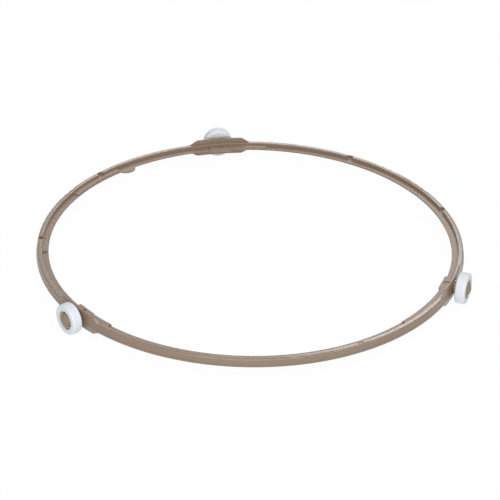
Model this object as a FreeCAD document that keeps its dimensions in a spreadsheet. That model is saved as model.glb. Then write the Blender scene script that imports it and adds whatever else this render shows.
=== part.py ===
# Roller ring of a microwave oven: a moulded plastic ring that carries the glass turntable on three
# rollers. Millimetres, +Z up, origin on the ring's axis at the oven floor that the rollers stand on.
# The first roller is on +X.
import FreeCAD, Part
import math
import os

import Sketcher

DIMENSIONS = {
    # Ring: an outer rib with a thin ledge inside it at half its height
    "ring_diameter": 200.0,
    "ring_height": 4.0,
    "rib_width": 2.7,
    "parting_height": 1.2,
    "parting_step": 0.12,
    "wall_lean": 0.28,
    "foot_lean": 0.15,
    "crest_round": 0.8,
    "rib_round": 0.25,
    "ledge_width": 3.0,
    "ledge_thickness": 0.9,
    "ledge_round": 0.25,
    # Wheel stations: the rib's outer skin grows into a thin plate above and below, with sloping shoulders
    "plate_thickness": 1.6,
    "station_flat": 22.7,
    "station_slope": 3.6,
    "station_rise": 2.4,
    "station_drop": 2.2,
    "shoulder_round": 3.0,
    # Thick stretches of the ledge, a block at each station and the moulding gate's tab
    "filler_rise": 0.6,
    "block_length": 10.6,
    "block_proud": 0.9,
    "block_round": 0.45,
    "block_drop": 0.35,
    "tab_width": 9.4,
    "tab_proud": 3.05,
    "tab_thickness": 0.8,
    "tab_angle": 151.0,
    # Ejector pin marks
    "mark_diameter": 3.3,
    "mark_inset": 2.5,
    "mark_depth": 1.2,
    "block_mark_margin": 0.15,
    "block_mark_depth": 0.3,
    # Rollers and the stubs that they turn on
    "roller_count": 3,
    "roller_diameter": 14.4,
    "roller_width": 4.8,
    "roller_round": 1.0,
    "roller_standoff": 1.15,
    "counterbore_diameter": 9.0,
    "counterbore_round": 0.25,
    "web_thickness": 3.4,
    "axle_diameter": 5.0,
    "axle_clearance": 0.08,
    "side_gap": 0.2,
    "collar_diameter": 6.4,
    "head_diameter": 7.2,
    "head_rim_inset": 0.6,
    "head_proud": 1.3,
    # How far the rough solids reach past the faces that trim them
    "trim_allowance": 2.0,
}

# Thick stretches of the ledge: middle angle and span of each, in degrees, and its inset from the bore
FILLERS = {
    "filler_a": (347.0, 22.0, 0.3),
    "filler_b": (112.0, 12.0, 0.3),
    "filler_c": (246.1, 8.2, -0.35),
    "filler_d": (163.4, 19.0, 0.3),
    "filler_e": (202.2, 8.5, 0.3),
}

# Ejector marks sit at thirds of the way from one station to the next
MARKS_PER_STATION = 3

# Two points nearer than this, in millimetres, are at the same place
SAME_PLACE = 1e-4

AXLE_HEIGHT = "(Dims.roller_diameter / 2)"
RING_RADIUS = "(Dims.ring_diameter / 2)"
RIB_BOTTOM = f"({AXLE_HEIGHT} - Dims.ring_height / 2)"
RIB_TOP = f"({AXLE_HEIGHT} + Dims.ring_height / 2)"
RIB_INNER = f"({RING_RADIUS} - Dims.rib_width)"
RIB_MIDDLE = f"({RING_RADIUS} - Dims.rib_width / 2)"
PLATE_INNER = f"({RING_RADIUS} - Dims.plate_thickness)"
STUB_ROOT = f"({RING_RADIUS} - Dims.plate_thickness * 3 / 4)"
PARTING_LEVEL = f"({RIB_BOTTOM} + Dims.parting_height)"
BORE_RADIUS = f"({RIB_INNER} - Dims.ledge_width)"
LEDGE_BOTTOM = f"({AXLE_HEIGHT} - Dims.ledge_thickness / 2)"
LEDGE_TOP = f"({AXLE_HEIGHT} + Dims.ledge_thickness / 2)"
FILLER_TOP = f"({LEDGE_TOP} + Dims.filler_rise)"
TRIM_LOW = f"({RIB_BOTTOM} - Dims.station_drop - Dims.trim_allowance)"
TRIM_HIGH = f"({RIB_TOP} + Dims.station_rise + Dims.trim_allowance)"
TRIM_RADIUS = f"({RING_RADIUS} + Dims.trim_allowance)"
ROLLER_INNER_FACE = f"({RING_RADIUS} + Dims.roller_standoff)"
ROLLER_OUTER_FACE = f"({ROLLER_INNER_FACE} + Dims.roller_width)"
WEB_FACE = f"({ROLLER_INNER_FACE} + Dims.web_thickness)"
HEAD_START = f"({WEB_FACE} + Dims.side_gap)"

doc = FreeCAD.newDocument("roller_ring")
sheet = doc.addObject("Spreadsheet::Sheet", "Dims")


def fill_sheet():
    """Puts the driving dimensions and the fillers' own into the sheet, one alias a row."""
    cells = dict(DIMENSIONS)
    for name, (middle, span, inset) in FILLERS.items():
        cells[f"{name}_middle"] = middle
        cells[f"{name}_span"] = span
        cells[f"{name}_inset"] = inset
    for row, (name, value) in enumerate(cells.items(), start=1):
        sheet.set(f"A{row}", name)
        sheet.set(f"B{row}", str(value))
        sheet.setAlias(f"B{row}", name)
    doc.recompute()


def number(expression):
    """The present value of an expression of the sheet's cells."""
    return float(sheet.evalExpression(expression))


def origin_feature(body, role):
    return next(item for item in body.Origin.OriginFeatures if item.Role == role)


def new_body(name):
    body = doc.addObject("PartDesign::Body", name)
    body.Label = name
    return body


def new_sketch(body, name, plane, lift="0", slide="0", turn=None):
    """A sketch on an origin plane, lifted along its normal, slid along its own Y or turned by an angle."""
    sketch = body.newObject("Sketcher::SketchObject", name)
    sketch.AttachmentSupport = [(origin_feature(body, plane), "")]
    sketch.MapMode = "FlatFace"
    if turn is not None:
        axis = FreeCAD.Vector(0, 0, 1) if plane == "XY_Plane" else FreeCAD.Vector(0, 1, 0)
        sketch.AttachmentOffset = FreeCAD.Placement(FreeCAD.Vector(), FreeCAD.Rotation(axis, number(turn)))
        sketch.setExpression("AttachmentOffset.Rotation.Angle", turn)
    sketch.setExpression("AttachmentOffset.Base.y", slide)
    sketch.setExpression("AttachmentOffset.Base.z", lift)
    return sketch


def place_point(sketch, edge, end, x, y):
    """Ties one end of a sketch edge to a pair of expressions."""
    for kind, axis, expression in (("DistanceX", -2, x), ("DistanceY", -1, y)):
        if expression == "0":
            sketch.addConstraint(Sketcher.Constraint("PointOnObject", edge, end, axis))
            continue
        index = sketch.addConstraint(Sketcher.Constraint(kind, edge, end, number(expression)))
        sketch.setExpression(f"Constraints[{index}]", expression)


def draw_outline(sketch, corners, domed_edge=None):
    """A closed outline through corners given as expressions. The domed edge is an arc about the X axis."""
    points = [FreeCAD.Vector(number(x), number(y), 0) for x, y in corners]
    first = sketch.GeometryCount
    count = len(corners)
    for index, start in enumerate(points):
        finish = points[(index + 1) % count]
        if index == domed_edge:
            reach = finish.x - start.x
            radius = (reach ** 2 + start.y ** 2) / (2 * reach)
            centre = FreeCAD.Vector(finish.x - radius, 0, 0)
            sweep = math.atan2(start.y, start.x - centre.x)
            circle = Part.Circle(centre, FreeCAD.Vector(0, 0, 1), radius)
            sketch.addGeometry(Part.ArcOfCircle(circle, 0, sweep))
        else:
            sketch.addGeometry(Part.LineSegment(start, finish))
    for index in range(count):
        following = (index + 1) % count
        # An arc runs anticlockwise, so the dome's first point is its apex
        end = 1 if index == domed_edge else 2
        start = 2 if following == domed_edge else 1
        sketch.addConstraint(Sketcher.Constraint("Coincident", first + index, end, first + following, start))
    if domed_edge is not None:
        sketch.addConstraint(Sketcher.Constraint("PointOnObject", first + domed_edge, 3, -1))
    for index, (x, y) in enumerate(corners):
        start = 2 if index == domed_edge else 1
        place_point(sketch, first + index, start, x, y)


def set_radius(sketch, edge, radius):
    index = sketch.addConstraint(Sketcher.Constraint("Radius", edge, number(radius)))
    sketch.setExpression(f"Constraints[{index}]", radius)


def draw_circle(sketch, radius, x="0", y="0"):
    centre = FreeCAD.Vector(number(x), number(y), 0)
    edge = sketch.addGeometry(Part.Circle(centre, FreeCAD.Vector(0, 0, 1), number(radius)))
    place_point(sketch, edge, 3, x, y)
    set_radius(sketch, edge, radius)


def draw_half_round(sketch, radius, x):
    """A half disc about a point of the sketch's X axis, round towards the origin."""
    centre = FreeCAD.Vector(number(x), 0, 0)
    side = FreeCAD.Vector(0, number(radius), 0)
    circle = Part.Circle(centre, FreeCAD.Vector(0, 0, 1), number(radius))
    arc = sketch.addGeometry(Part.ArcOfCircle(circle, math.pi / 2, 3 * math.pi / 2))
    chord = sketch.addGeometry(Part.LineSegment(centre - side, centre + side))
    sketch.addConstraint(Sketcher.Constraint("Coincident", arc, 2, chord, 1))
    sketch.addConstraint(Sketcher.Constraint("Coincident", chord, 2, arc, 1))
    sketch.addConstraint(Sketcher.Constraint("Vertical", chord))
    sketch.addConstraint(Sketcher.Constraint("PointOnObject", arc, 3, chord))
    place_point(sketch, arc, 3, x, "0")
    set_radius(sketch, arc, radius)


def extruded(body, kind, name, sketch, length):
    """A Pad or a Pocket of a sketch."""
    feature = body.newObject(f"PartDesign::{kind}", name)
    feature.Profile = sketch
    feature.setExpression("Length", length)
    doc.recompute()
    return feature


def revolved(body, kind, name, sketch, axis, span="360", both_ways=False):
    """A Revolution or a Groove of a sketch about one of its own axes."""
    feature = body.newObject(f"PartDesign::{kind}", name)
    feature.Profile = sketch
    feature.ReferenceAxis = (sketch, [axis])
    feature.Midplane = both_ways
    feature.setExpression("Angle", span)
    doc.recompute()
    return feature


def around_stations(body, name, originals):
    """Repeats features at every wheel station."""
    pattern = body.newObject("PartDesign::PolarPattern", name)
    pattern.Originals = originals
    pattern.Axis = (origin_feature(body, "Z_Axis"), [""])
    pattern.Angle = 360
    pattern.setExpression("Occurrences", "Dims.roller_count")
    body.Tip = pattern
    doc.recompute()
    return pattern


def rounded(body, name, base, radius, chosen):
    """Rounds the edges of a feature that a test chooses."""
    names = [f"Edge{index}" for index, edge in enumerate(base.Shape.Edges, start=1) if chosen(edge)]
    feature = body.newObject("PartDesign::Fillet", name)
    feature.Base = (base, names)
    feature.setExpression("Radius", radius)
    doc.recompute()
    return feature


def middle_of(edge):
    return edge.valueAt((edge.FirstParameter + edge.LastParameter) / 2)


def distance_from_axis(point):
    return math.hypot(point.x, point.y)


def is_straight(edge):
    return edge.Curve.TypeId == "Part::GeomLine"


def same(one, other):
    return abs(one - other) < SAME_PLACE


def make_rib(body):
    """The outer rib with a thin plate at each wheel station, and its rounded edges."""
    disc = new_sketch(body, "disc_outline", "XY_Plane", lift=RIB_BOTTOM)
    draw_circle(disc, TRIM_RADIUS)
    extruded(body, "Pad", "disc", disc, "Dims.ring_height")

    half_flat = "(Dims.station_flat / 2)"
    half_base = f"({half_flat} + Dims.station_slope)"
    half_foot = f"({half_base} + Dims.trim_allowance)"
    plate_top = f"({RIB_TOP} + Dims.station_rise)"
    plate_bottom = f"({RIB_BOTTOM} - Dims.station_drop)"
    right_side = [
        (half_foot, RIB_BOTTOM), (half_foot, RIB_TOP), (half_base, RIB_TOP), (half_flat, plate_top),
    ]
    left_side = [(f"(0 - {y})", z) for y, z in reversed(right_side)]
    lower_side = [
        (f"(0 - {half_base})", RIB_BOTTOM), (f"(0 - {half_flat})", plate_bottom),
        (half_flat, plate_bottom), (half_base, RIB_BOTTOM),
    ]
    station = new_sketch(body, "station_outline", "YZ_Plane", lift=f"({RING_RADIUS} / 2)")
    draw_outline(station, right_side + left_side + lower_side)
    plate = extruded(body, "Pad", "station_plate", station, f"({RING_RADIUS} / 2 + Dims.trim_allowance)")
    around_stations(body, "station_plates", [plate])

    lean_rate = "(Dims.wall_lean / (Dims.ring_height - Dims.parting_height))"
    wall_foot = f"({RING_RADIUS} - Dims.parting_step)"
    wall_high = f"({wall_foot} - {lean_rate} * ({TRIM_HIGH} - {PARTING_LEVEL}))"
    foot_rate = "(Dims.foot_lean / Dims.parting_height)"
    wall_low = f"({RING_RADIUS} - {foot_rate} * ({PARTING_LEVEL} - {TRIM_LOW}))"
    outside = f"({TRIM_RADIUS} + Dims.trim_allowance)"
    trim = new_sketch(body, "rib_trim_outline", "XZ_Plane")
    draw_outline(trim, [("0", TRIM_LOW), (RIB_INNER, TRIM_LOW), (RIB_INNER, TRIM_HIGH), ("0", TRIM_HIGH)])
    draw_outline(trim, [
        (wall_low, TRIM_LOW), (outside, TRIM_LOW), (outside, TRIM_HIGH),
        (wall_high, TRIM_HIGH), (wall_foot, PARTING_LEVEL), (RING_RADIUS, PARTING_LEVEL),
    ])
    trimmed = revolved(body, "Groove", "rib_trim", trim, "V_Axis")
    rounded(
        body, "shoulder_rounds", trimmed, "Dims.shoulder_round",
        lambda edge: is_straight(edge) and same(edge.Vertexes[0].Z, edge.Vertexes[-1].Z))

    inside = f"({RIB_INNER} - Dims.trim_allowance)"
    thin = new_sketch(body, "plate_trim_outline", "XZ_Plane")
    for level, limit in ((RIB_TOP, TRIM_HIGH), (TRIM_LOW, RIB_BOTTOM)):
        draw_outline(thin, [(inside, level), (PLATE_INNER, level), (PLATE_INNER, limit), (inside, limit)])
    thinned = revolved(body, "Groove", "plate_trim", thin, "V_Axis")

    skin = number(STUB_ROOT)
    rib_inner = number(RIB_INNER)
    top = number(RIB_TOP) - SAME_PLACE
    bottom = number(RIB_BOTTOM) + SAME_PLACE

    def is_outer(edge):
        return not is_straight(edge) and distance_from_axis(middle_of(edge)) > skin

    def is_lower_or_inner(edge):
        point = middle_of(edge)
        inner = not is_straight(edge) and same(distance_from_axis(point), rib_inner)
        return inner or (is_outer(edge) and point.z < bottom)

    crested = rounded(
        body, "crest_rounds", thinned, "min(Dims.crest_round; Dims.plate_thickness / 2)",
        lambda edge: is_outer(edge) and middle_of(edge).z > top)
    rounded(body, "rib_rounds", crested, "min(Dims.rib_round; Dims.plate_thickness / 4)", is_lower_or_inner)


def make_ledge(body):
    """The thin inner ledge, its thick stretches, the station blocks and the gate tab."""
    section = new_sketch(body, "ledge_section", "XZ_Plane")
    draw_outline(section, [
        (BORE_RADIUS, LEDGE_BOTTOM), (RIB_MIDDLE, LEDGE_BOTTOM),
        (RIB_MIDDLE, LEDGE_TOP), (BORE_RADIUS, LEDGE_TOP),
    ])
    ledge = revolved(body, "Revolution", "ledge", section, "V_Axis")
    bore = number(BORE_RADIUS)

    def is_bore_rim(edge):
        return not is_straight(edge) and same(distance_from_axis(middle_of(edge)), bore)

    rounded(body, "ledge_rounds", ledge, "min(Dims.ledge_round; Dims.ledge_thickness / 3)", is_bore_rim)

    block_bottom = f"({LEDGE_BOTTOM} - Dims.block_drop)"
    block_face = f"({BORE_RADIUS} - Dims.block_proud)"
    half_block = "(Dims.block_length / 2)"
    outline = new_sketch(body, "block_outline", "XY_Plane", lift=block_bottom)
    draw_outline(outline, [
        (block_face, f"(0 - {half_block})"), (RIB_MIDDLE, f"(0 - {half_block})"),
        (RIB_MIDDLE, half_block), (block_face, half_block),
    ])
    block = extruded(body, "Pad", "block", outline, f"({FILLER_TOP} - {block_bottom})")
    blocks = around_stations(body, "blocks", [block])

    def is_block_corner(edge):
        first, last = edge.Vertexes[0].Point, edge.Vertexes[-1].Point
        upright = is_straight(edge) and same(first.x, last.x) and same(first.y, last.y)
        return upright and distance_from_axis(first) < bore - SAME_PLACE

    largest = "min(Dims.block_proud / 2; Dims.block_length / 4)"
    rounded(body, "block_rounds", blocks, f"min(Dims.block_round; {largest})", is_block_corner)

    for name in FILLERS:
        inner = f"({BORE_RADIUS} + Dims.{name}_inset)"
        filler = new_sketch(body, f"{name}_section", "XZ_Plane", turn=f"Dims.{name}_middle")
        draw_outline(filler, [
            (inner, AXLE_HEIGHT), (RIB_MIDDLE, AXLE_HEIGHT), (RIB_MIDDLE, FILLER_TOP), (inner, FILLER_TOP),
        ])
        revolved(body, "Revolution", name, filler, "V_Axis", span=f"Dims.{name}_span", both_ways=True)

    tab_radius = "(Dims.tab_width / 2)"
    tab_centre = f"({BORE_RADIUS} - Dims.tab_proud + {tab_radius})"
    tab_bottom = f"({AXLE_HEIGHT} - Dims.tab_thickness / 2)"
    outline = new_sketch(body, "tab_outline", "XY_Plane", lift=tab_bottom, turn="Dims.tab_angle")
    draw_half_round(outline, tab_radius, tab_centre)
    extruded(body, "Pad", "tab", outline, "Dims.tab_thickness")


def make_marks(body):
    """Round ejector pin marks, between the stations and on the station blocks."""
    across = f"({RING_RADIUS} - Dims.mark_inset)"
    pitch = f"(360 / Dims.roller_count / {MARKS_PER_STATION})"
    between = new_sketch(body, "mark_outline", "XY_Plane", lift=TRIM_HIGH)
    for step in range(1, MARKS_PER_STATION):
        x, y = (f"({across} * {part}({step} * {pitch}))" for part in ("cos", "sin"))
        draw_circle(between, "Dims.mark_diameter / 2", x, y)
    depth = f"({TRIM_HIGH} - {RIB_TOP} + Dims.mark_depth)"
    marks = extruded(body, "Pocket", "mark", between, depth)
    around_stations(body, "marks", [marks])

    on_block = f"({RIB_INNER} - Dims.ledge_width / 2)"
    centre = new_sketch(body, "block_mark_outline", "XY_Plane", lift=FILLER_TOP)
    widest = "(Dims.ledge_width - 2 * Dims.block_mark_margin)"
    draw_circle(centre, f"min(Dims.mark_diameter; {widest}) / 2", on_block)
    block_mark = extruded(body, "Pocket", "block_mark", centre, "Dims.block_mark_depth")
    around_stations(body, "block_marks", [block_mark])


def make_stubs(body):
    """The axle stubs: a collar against the roller, the shaft and a domed head that keeps the roller on."""
    collar_face = f"({ROLLER_INNER_FACE} - Dims.side_gap)"
    head_rim = f"({ROLLER_OUTER_FACE} - Dims.head_rim_inset)"
    apex = f"({ROLLER_OUTER_FACE} + Dims.head_proud)"
    section = new_sketch(body, "stub_section", "XZ_Plane", slide=AXLE_HEIGHT)
    draw_outline(section, [
        (STUB_ROOT, "0"), (STUB_ROOT, "Dims.collar_diameter / 2"),
        (collar_face, "Dims.collar_diameter / 2"), (collar_face, "Dims.axle_diameter / 2"),
        (HEAD_START, "Dims.axle_diameter / 2"), (HEAD_START, "Dims.head_diameter / 2"),
        (head_rim, "Dims.head_diameter / 2"), (apex, "0"),
    ], domed_edge=6)
    stub = revolved(body, "Revolution", "stub", section, "H_Axis")
    around_stations(body, "stubs", [stub])


def make_ring():
    body = new_body("ring_frame")
    make_rib(body)
    make_ledge(body)
    make_marks(body)
    make_stubs(body)
    return body


def make_roller(index):
    """A roller on its stub: a bored web towards the ring and a counterbore for the stub's head."""
    body = new_body(f"roller_{index + 1}")
    bore = "(Dims.axle_diameter / 2 + Dims.axle_clearance)"
    counterbore = "(Dims.counterbore_diameter / 2)"
    radius = "(Dims.roller_diameter / 2)"
    section = new_sketch(body, f"roller_section_{index + 1}", "XZ_Plane", slide=AXLE_HEIGHT)
    draw_outline(section, [
        (ROLLER_INNER_FACE, bore), (ROLLER_INNER_FACE, radius), (ROLLER_OUTER_FACE, radius),
        (ROLLER_OUTER_FACE, counterbore), (WEB_FACE, counterbore), (WEB_FACE, bore),
    ])
    turned = revolved(body, "Revolution", f"roller_turned_{index + 1}", section, "H_Axis")

    def is_rim(edge, across):
        return not is_straight(edge) and same(edge.Curve.Radius, number(across))

    rims = rounded(
        body, f"roller_rims_{index + 1}", turned, "min(Dims.roller_round; Dims.roller_width / 3)",
        lambda edge: is_rim(edge, radius))
    mouth = number(ROLLER_OUTER_FACE)
    rounded(
        body, f"roller_mouth_{index + 1}", rims, "Dims.counterbore_round",
        lambda edge: is_rim(edge, counterbore) and same(middle_of(edge).x, mouth))
    body.setExpression("Placement.Rotation.Angle", f"{index} * 360 / Dims.roller_count")
    return body


def check_and_write(parts):
    """Stops on a failed object or an unsound solid, then writes one STEP file for each part."""
    doc.recompute()
    for item in doc.Objects:
        if "Invalid" in item.State or "Error" in item.State:
            raise RuntimeError(f"{item.Name} did not rebuild")
    for part in parts:
        if part.Shape.isNull() or not part.Shape.isValid() or len(part.Shape.Solids) != 1:
            raise RuntimeError(f"{part.Label} is not one sound solid")
    os.makedirs("parts", exist_ok=True)
    for part in parts:
        part.Shape.exportStep(f"parts/{part.Label}.step")
        print(f"{part.Label}: {part.Shape.Volume:.1f} cubic mm")


fill_sheet()
ring = make_ring()
rollers = [make_roller(index) for index in range(DIMENSIONS["roller_count"])]
check_and_write([ring] + rollers)
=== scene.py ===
"""Microwave roller ring: looks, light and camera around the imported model. Metres, +Z up."""
import math

import bpy
from mathutils import Matrix, Vector

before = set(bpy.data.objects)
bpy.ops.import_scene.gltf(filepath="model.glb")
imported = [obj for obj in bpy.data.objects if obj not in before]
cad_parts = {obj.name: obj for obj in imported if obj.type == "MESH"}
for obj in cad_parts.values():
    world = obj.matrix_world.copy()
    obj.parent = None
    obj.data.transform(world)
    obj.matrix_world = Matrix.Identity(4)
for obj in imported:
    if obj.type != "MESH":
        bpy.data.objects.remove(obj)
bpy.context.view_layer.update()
scene = bpy.context.scene

# Where things are on the part
RING_RADIUS = 0.100
LEDGE_OUTER = 0.0973
CREST_CENTRE_RADIUS = 0.098876
CREST_CENTRE_HEIGHT = 0.0084
CREST_ROUND = 0.0008
CREST_SLACK = 0.00006
PLATE_RISE = 0.0024
PLATE_LEAN = 0.00024
PLATE_HALF_ANGLE = 0.098
STATION_HALF_ANGLE = 0.185
STATION_PITCH = 2 * math.pi / 3
RECESS_RADIUS = 0.0046
HEAD_FROM = 0.10003
AXLE_HEIGHT = 0.0072
ROLLER_MIDDLE = 0.1035
STATION_ANGLES = {"roller_1": 0.0, "roller_2": 120.0, "roller_3": 240.0}

# Smooth shading
WELD_DISTANCE = 0.000002
CREASE_ANGLE = math.radians(28.0)

# Camera, as the photograph was taken
PICTURE_WIDTH = 500
TARGET = Vector((0.0, 0.0, 0.0052))
CAMERA_DISTANCE = 1.0113
CAMERA_ELEVATION = 30.90
CAMERA_PLAN_ANGLE = 290.37
CAMERA_ROLL = 0.776
CAMERA_CLIP_START = 0.05
SENSOR_WIDTH = 36.0
FOCAL_PIXELS = 2153.5
TARGET_RIGHT_PIXELS = 0.24
TARGET_UP_PIXELS = 1.70

# Ring plastic: linear colour, then scale, detail and roughness of each noise and the values it runs between
RING_COLOUR = (0.258, 0.177, 0.121)
RING_IOR = 1.56
FLOW_STRETCH = 0.16
FLOW_NOISE, FLOW_RANGE = (700.0, 4.0, 0.6), (0.98, 1.02)
RING_CLOUD_NOISE, RING_CLOUD_RANGE = (55.0, 3.0), (0.965, 1.035)
SPECK_NOISE, SPECK_RANGE = (2600.0, 2.0, 0.7), (0.98, 1.02)
RING_GLOSS_NOISE, RING_ROUGHNESS_RANGE = (420.0, 3.0), (0.24, 0.30)
LEDGE_EXTRA_ROUGHNESS = 0.18
HEAD_EXTRA_ROUGHNESS = 0.30
# Bumps: strength and height
RING_GRAIN_NOISE, RING_GRAIN_BUMP = (3200.0, 2.0), (0.03, 0.00003)
RING_FLOW_BUMP_NOISE, RING_FLOW_BUMP = (520.0, 3.0), (0.03, 0.00005)

# Roller plastic, in the same way
ROLLER_COLOUR = (0.76, 0.77, 0.795)
# Cream in the roller's recess: painted bounce light, the brown ring's light reflected into the recess, not a colour
# of the plastic
RECESS_PAINTED_BOUNCE_COLOUR = (0.76, 0.73, 0.66)
ROLLER_IOR = 1.5
TURNING_STRETCH = 0.0004
TURNING_NOISE, STREAK_RANGE = (2600.0, 3.0, 0.6), (0.975, 1.015)
ROLLER_CLOUD_NOISE, ROLLER_CLOUD_RANGE = (260.0, 3.0), (0.965, 1.02)
ROLLER_GLOSS_NOISE, ROLLER_ROUGHNESS_RANGE = (700.0, 3.0), (0.62, 0.76)
ROLLER_GRAIN_NOISE, ROLLER_GRAIN_BUMP = (3600.0, 2.0), (0.05, 0.00004)
TURNING_BUMP = (0.06, 0.00005)

# The middle of a noise, which ramps stretch
NOISE_MIDDLE = (0.3, 0.7)

# Sockets of the mix node: the two inputs and the output for vectors and for colours
VECTOR_MIX = (4, 5, 1)
COLOUR_MIX = (6, 7, 2)

# Stage and light
FLOOR_SIZE = 6.0
FLOOR_COLOUR = (0.93, 0.93, 0.93)
FLOOR_WHITE_SHARE = 0.97
WORLD_STRENGTH = 0.30
WHITE_STRENGTH = 1.0
LAMP_COLOUR = (0.90, 0.955, 1.0)

# Softboxes: place to the right, back and up as the camera sees them, width, height and power
SOFTBOXES = {
    "main_strip": ((0.16, -0.30, 0.92), 1.40, 0.18, 6.0),
    "front_box": ((0.00, -0.95, 0.22), 0.90, 0.25, 4.4),
    "back_right_card": ((0.14, 0.60, 0.47), 0.18, 0.18, 0.75),
    "back_low_card": ((-0.03, 0.60, 0.28), 0.26, 0.08, 0.36),
}


def link(tree, source, target):
    tree.links.new(source, target)


def node(tree, kind, **settings):
    made = tree.nodes.new(kind)
    for name, value in settings.items():
        setattr(made, name, value)
    return made


def new_material(name):
    material = bpy.data.materials.new(name)
    material.use_nodes = True
    tree = material.node_tree
    tree.nodes.clear()
    output = node(tree, "ShaderNodeOutputMaterial")
    return material, tree, output


def maths(tree, operation, *values):
    made = node(tree, "ShaderNodeMath", operation=operation)
    for socket, value in zip(made.inputs, values):
        if isinstance(value, (int, float)):
            socket.default_value = value
        else:
            link(tree, value, socket)
    return made.outputs[0]


def split(tree, vector):
    """The three parts of a vector."""
    made = node(tree, "ShaderNodeSeparateXYZ")
    link(tree, vector, made.inputs[0])
    return made.outputs


def joined(tree, *parts):
    """A vector made of three parts."""
    made = node(tree, "ShaderNodeCombineXYZ")
    for part, socket in zip(parts, made.inputs):
        link(tree, part, socket)
    return made.outputs[0]


def mixed(tree, data_type, sockets, factor, first, second):
    """The first value where the factor is 0 and the second where it is 1."""
    first_input, second_input, output = sockets
    made = node(tree, "ShaderNodeMix", data_type=data_type)
    link(tree, factor, made.inputs["Factor"])
    link(tree, first, made.inputs[first_input])
    link(tree, second, made.inputs[second_input])
    return made.outputs[output]


def noise(tree, vector, scale, detail, roughness=0.5):
    made = node(tree, "ShaderNodeTexNoise", noise_dimensions="3D")
    made.inputs["Scale"].default_value = scale
    made.inputs["Detail"].default_value = detail
    made.inputs["Roughness"].default_value = roughness
    link(tree, vector, made.inputs["Vector"])
    return made.outputs["Fac"]


def ramp(tree, factor, low, high):
    """Stretches the middle of a noise to run from one value to another."""
    made = node(tree, "ShaderNodeMapRange", clamp=True)
    made.inputs["From Min"].default_value, made.inputs["From Max"].default_value = NOISE_MIDDLE
    made.inputs["To Min"].default_value = low
    made.inputs["To Max"].default_value = high
    link(tree, factor, made.inputs["Value"])
    return made.outputs["Result"]


def tinted(tree, colour, *brightness):
    """A colour multiplied by each of some brightness values."""
    current = None
    for value in brightness:
        made = node(tree, "ShaderNodeVectorMath", operation="SCALE")
        if current is None:
            made.inputs[0].default_value = colour
        else:
            link(tree, current, made.inputs[0])
        link(tree, value, made.inputs["Scale"])
        current = made.outputs[0]
    return current


def bumped(tree, height, strength, distance, below=None):
    made = node(tree, "ShaderNodeBump")
    made.inputs["Strength"].default_value = strength
    made.inputs["Distance"].default_value = distance
    link(tree, height, made.inputs["Height"])
    if below is not None:
        link(tree, below, made.inputs["Normal"])
    return made.outputs["Normal"]


def length_of(tree, one, other):
    squares = (maths(tree, "MULTIPLY", value, value) for value in (one, other))
    return maths(tree, "SQRT", maths(tree, "ADD", *squares))


def edge_normal(tree, x, y, z, angle, radius):
    """The surface normal; on the rounded outer edge of rib and plates, that of the true arc, so its sheen runs on."""
    from_station = maths(tree, "PINGPONG", maths(tree, "ABSOLUTE", angle), STATION_PITCH / 2)
    on_plate = maths(tree, "LESS_THAN", from_station, PLATE_HALF_ANGLE)
    on_rib = maths(tree, "GREATER_THAN", from_station, STATION_HALF_ANGLE)
    centre_radius = maths(
        tree, "SUBTRACT", CREST_CENTRE_RADIUS, maths(tree, "MULTIPLY", on_plate, PLATE_LEAN))
    centre_height = maths(
        tree, "ADD", CREST_CENTRE_HEIGHT, maths(tree, "MULTIPLY", on_plate, PLATE_RISE))
    out = maths(tree, "SUBTRACT", radius, centre_radius)
    up = maths(tree, "SUBTRACT", z, centre_height)
    on_edge = maths(tree, "COMPARE", length_of(tree, out, up), CREST_ROUND, CREST_SLACK)
    for test in (
            maths(tree, "GREATER_THAN", out, 0.0),
            maths(tree, "GREATER_THAN", up, CREST_SLACK),
            maths(tree, "ADD", on_plate, on_rib)):
        on_edge = maths(tree, "MULTIPLY", on_edge, test)
    # Worked out from the height alone, which the straight facets round the ring leave true
    upward = maths(tree, "MINIMUM", maths(tree, "DIVIDE", up, CREST_ROUND), 1.0)
    outward_squared = maths(tree, "SUBTRACT", 1.0, maths(tree, "MULTIPLY", upward, upward))
    share = maths(tree, "DIVIDE", maths(tree, "SQRT", outward_squared), radius)
    arc = joined(tree, maths(tree, "MULTIPLY", x, share), maths(tree, "MULTIPLY", y, share), upward)
    placed = node(
        tree, "ShaderNodeVectorTransform", vector_type="NORMAL", convert_from="OBJECT", convert_to="WORLD")
    link(tree, arc, placed.inputs[0])
    surface = node(tree, "ShaderNodeNewGeometry").outputs["Normal"]
    return mixed(tree, "VECTOR", VECTOR_MIX, on_edge, surface, placed.outputs[0])


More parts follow.
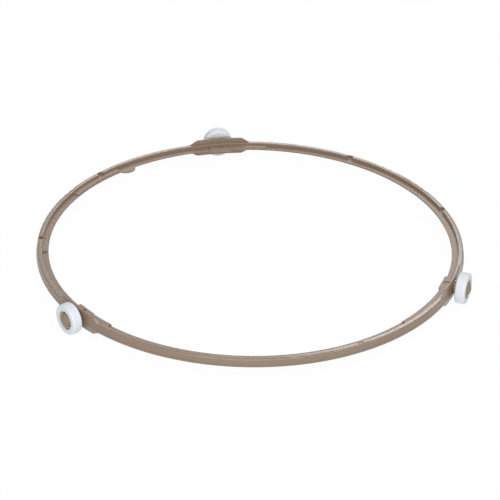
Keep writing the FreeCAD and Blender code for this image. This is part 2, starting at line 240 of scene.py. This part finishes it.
def ring_material():
    """Warm grey-brown moulded plastic with a soft sheen, faint flow along the ring and a fine grain."""
    material, tree, output = new_material("ring_moulded_plastic")
    place = node(tree, "ShaderNodeTexCoord").outputs["Object"]
    x, y, z = split(tree, place)
    angle = maths(tree, "ARCTAN2", y, x)
    radius = length_of(tree, x, y)
    along = joined(tree, maths(tree, "MULTIPLY", angle, RING_RADIUS * FLOW_STRETCH), radius, z)

    flow = ramp(tree, noise(tree, along, *FLOW_NOISE), *FLOW_RANGE)
    cloud = ramp(tree, noise(tree, place, *RING_CLOUD_NOISE), *RING_CLOUD_RANGE)
    speck = ramp(tree, noise(tree, place, *SPECK_NOISE), *SPECK_RANGE)
    gloss = ramp(tree, noise(tree, place, *RING_GLOSS_NOISE), *RING_ROUGHNESS_RANGE)
    on_ledge = maths(tree, "LESS_THAN", radius, LEDGE_OUTER)
    on_head = maths(tree, "GREATER_THAN", radius, HEAD_FROM)
    matt = maths(
        tree, "ADD",
        maths(tree, "MULTIPLY", on_ledge, LEDGE_EXTRA_ROUGHNESS),
        maths(tree, "MULTIPLY", on_head, HEAD_EXTRA_ROUGHNESS))
    smooth = edge_normal(tree, x, y, z, angle, radius)
    grain = bumped(tree, noise(tree, place, *RING_GRAIN_NOISE), *RING_GRAIN_BUMP, smooth)
    ripple = bumped(tree, noise(tree, along, *RING_FLOW_BUMP_NOISE), *RING_FLOW_BUMP, grain)

    shader = node(tree, "ShaderNodeBsdfPrincipled")
    link(tree, tinted(tree, RING_COLOUR, flow, cloud, speck), shader.inputs["Base Color"])
    link(tree, maths(tree, "ADD", gloss, matt), shader.inputs["Roughness"])
    link(tree, ripple, shader.inputs["Normal"])
    shader.inputs["IOR"].default_value = RING_IOR
    link(tree, shader.outputs[0], output.inputs["Surface"])
    return material


def roller_material(name, station_angle):
    """White nylon-like plastic with faint mottling and fine turning lines round the axle; its recess is painted
    cream, a painted bounce of light off the brown ring rather than the plastic's own colour.
    """
    material, tree, output = new_material(f"{name}_white_plastic")
    place = node(tree, "ShaderNodeTexCoord").outputs["Object"]
    # The roller's own frame: X along its axle, the axle at the origin
    turned = node(tree, "ShaderNodeVectorRotate", rotation_type="Z_AXIS")
    turned.inputs["Angle"].default_value = -math.radians(station_angle)
    link(tree, place, turned.inputs["Vector"])
    shifted = node(tree, "ShaderNodeVectorMath", operation="SUBTRACT")
    link(tree, turned.outputs[0], shifted.inputs[0])
    shifted.inputs[1].default_value = (ROLLER_MIDDLE, 0.0, AXLE_HEIGHT)
    centred = shifted.outputs[0]
    x, y, z = split(tree, centred)
    across = length_of(tree, y, z)
    lines = joined(
        tree, x, across, maths(tree, "MULTIPLY", maths(tree, "ARCTAN2", z, y), TURNING_STRETCH))

    ringed = noise(tree, lines, *TURNING_NOISE)
    streak = ramp(tree, ringed, *STREAK_RANGE)
    cloud = ramp(tree, noise(tree, centred, *ROLLER_CLOUD_NOISE), *ROLLER_CLOUD_RANGE)
    gloss = ramp(tree, noise(tree, centred, *ROLLER_GLOSS_NOISE), *ROLLER_ROUGHNESS_RANGE)
    grain = bumped(tree, noise(tree, centred, *ROLLER_GRAIN_NOISE), *ROLLER_GRAIN_BUMP)
    # Inside the recess radius the white plastic colour is swapped for painted cream bounce light
    colour = mixed(
        tree, "RGBA", COLOUR_MIX, maths(tree, "LESS_THAN", across, RECESS_RADIUS),
        tinted(tree, ROLLER_COLOUR, cloud, streak),
        tinted(tree, RECESS_PAINTED_BOUNCE_COLOUR, cloud, streak))

    shader = node(tree, "ShaderNodeBsdfPrincipled")
    link(tree, colour, shader.inputs["Base Color"])
    link(tree, gloss, shader.inputs["Roughness"])
    link(tree, bumped(tree, ringed, *TURNING_BUMP, grain), shader.inputs["Normal"])
    shader.inputs["IOR"].default_value = ROLLER_IOR
    link(tree, shader.outputs[0], output.inputs["Surface"])
    return material


def even_normals(name):
    """Shades a node's curved faces smoothly up to its creases, with its shape as it is."""
    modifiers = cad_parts[name].modifiers
    modifiers.new("weld", "WELD").merge_threshold = WELD_DISTANCE
    modifiers.new("creases", "EDGE_SPLIT").split_angle = CREASE_ANGLE
    modifiers.new("even_normals", "WEIGHTED_NORMAL").mode = "FACE_AREA"


def dress(name, material):
    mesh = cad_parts[name].data
    mesh.materials.clear()
    mesh.materials.append(material)


def seen_directly(tree):
    """1 for rays that show the stage as it looks: from the camera, by reflection or through a clear thing."""
    path = node(tree, "ShaderNodeLightPath")
    first = maths(tree, "MAXIMUM", path.outputs["Is Camera Ray"], path.outputs["Is Glossy Ray"])
    return maths(tree, "MAXIMUM", first, path.outputs["Is Transmission Ray"])


def make_floor():
    half = FLOOR_SIZE / 2
    mesh = bpy.data.meshes.new("studio_floor")
    corners = [(-half, -half, 0), (half, -half, 0), (half, half, 0), (-half, half, 0)]
    mesh.from_pydata(corners, [], [(0, 1, 2, 3)])
    floor = bpy.data.objects.new("studio_floor", mesh)
    scene.collection.objects.link(floor)
    material, tree, output = new_material("studio_floor_white")
    diffuse = node(tree, "ShaderNodeBsdfDiffuse")
    diffuse.inputs["Color"].default_value = (*FLOOR_COLOUR, 1.0)
    white = node(tree, "ShaderNodeEmission")
    white.inputs["Strength"].default_value = WHITE_STRENGTH
    mix = node(tree, "ShaderNodeMixShader")
    link(tree, maths(tree, "MULTIPLY", seen_directly(tree), FLOOR_WHITE_SHARE), mix.inputs[0])
    link(tree, diffuse.outputs[0], mix.inputs[1])
    link(tree, white.outputs[0], mix.inputs[2])
    link(tree, mix.outputs[0], output.inputs["Surface"])
    material.cycles.emission_sampling = "NONE"
    mesh.materials.append(material)


def make_world():
    world = bpy.data.worlds.new("studio_world")
    world.use_nodes = True
    tree = world.node_tree
    tree.nodes.clear()
    output = node(tree, "ShaderNodeOutputWorld")
    sky = node(tree, "ShaderNodeBackground")
    strength = node(tree, "ShaderNodeMapRange")
    strength.inputs["To Min"].default_value = WORLD_STRENGTH
    strength.inputs["To Max"].default_value = WHITE_STRENGTH
    link(tree, seen_directly(tree), strength.inputs["Value"])
    link(tree, strength.outputs["Result"], sky.inputs["Strength"])
    sky.inputs["Color"].default_value = (1.0, 1.0, 1.0, 1.0)
    link(tree, sky.outputs[0], output.inputs["Surface"])
    scene.world = world


def make_softbox(name, seen_place, width, height, power):
    """A lamp placed as the camera sees it and turned to the part."""
    data = bpy.data.lights.new(name, "AREA")
    data.shape = "RECTANGLE"
    data.size = width
    data.size_y = height
    data.energy = power
    data.color = LAMP_COLOUR
    lamp = bpy.data.objects.new(name, data)
    scene.collection.objects.link(lamp)
    lamp.visible_camera = False
    place = Matrix.Rotation(math.radians(CAMERA_PLAN_ANGLE + 90.0), 3, "Z") @ Vector(seen_place)
    lamp.location = place
    lamp.rotation_mode = "QUATERNION"
    lamp.rotation_quaternion = (TARGET - place).to_track_quat("-Z", "Y")


def make_camera():
    data = bpy.data.cameras.new("camera")
    data.sensor_width = SENSOR_WIDTH
    data.lens = FOCAL_PIXELS / PICTURE_WIDTH * SENSOR_WIDTH
    data.shift_x = -TARGET_RIGHT_PIXELS / PICTURE_WIDTH
    data.shift_y = -TARGET_UP_PIXELS / PICTURE_WIDTH
    data.clip_start = CAMERA_CLIP_START
    camera = bpy.data.objects.new("camera", data)
    scene.collection.objects.link(camera)
    elevation, plan = math.radians(CAMERA_ELEVATION), math.radians(CAMERA_PLAN_ANGLE)
    back = Vector((
        math.cos(elevation) * math.cos(plan), math.cos(elevation) * math.sin(plan), math.sin(elevation)))
    turn = (-back).to_track_quat("-Z", "Y").to_matrix().to_4x4()
    roll = Matrix.Rotation(math.radians(CAMERA_ROLL), 4, "Z")
    camera.matrix_world = Matrix.Translation(TARGET + back * CAMERA_DISTANCE) @ turn @ roll
    scene.camera = camera


dress("ring_frame", ring_material())
even_normals("ring_frame")
for roller, angle in STATION_ANGLES.items():
    dress(roller, roller_material(roller, angle))
make_floor()
make_world()
for softbox, settings in SOFTBOXES.items():
    make_softbox(softbox, *settings)
make_camera()
scene.view_settings.view_transform = "Standard"
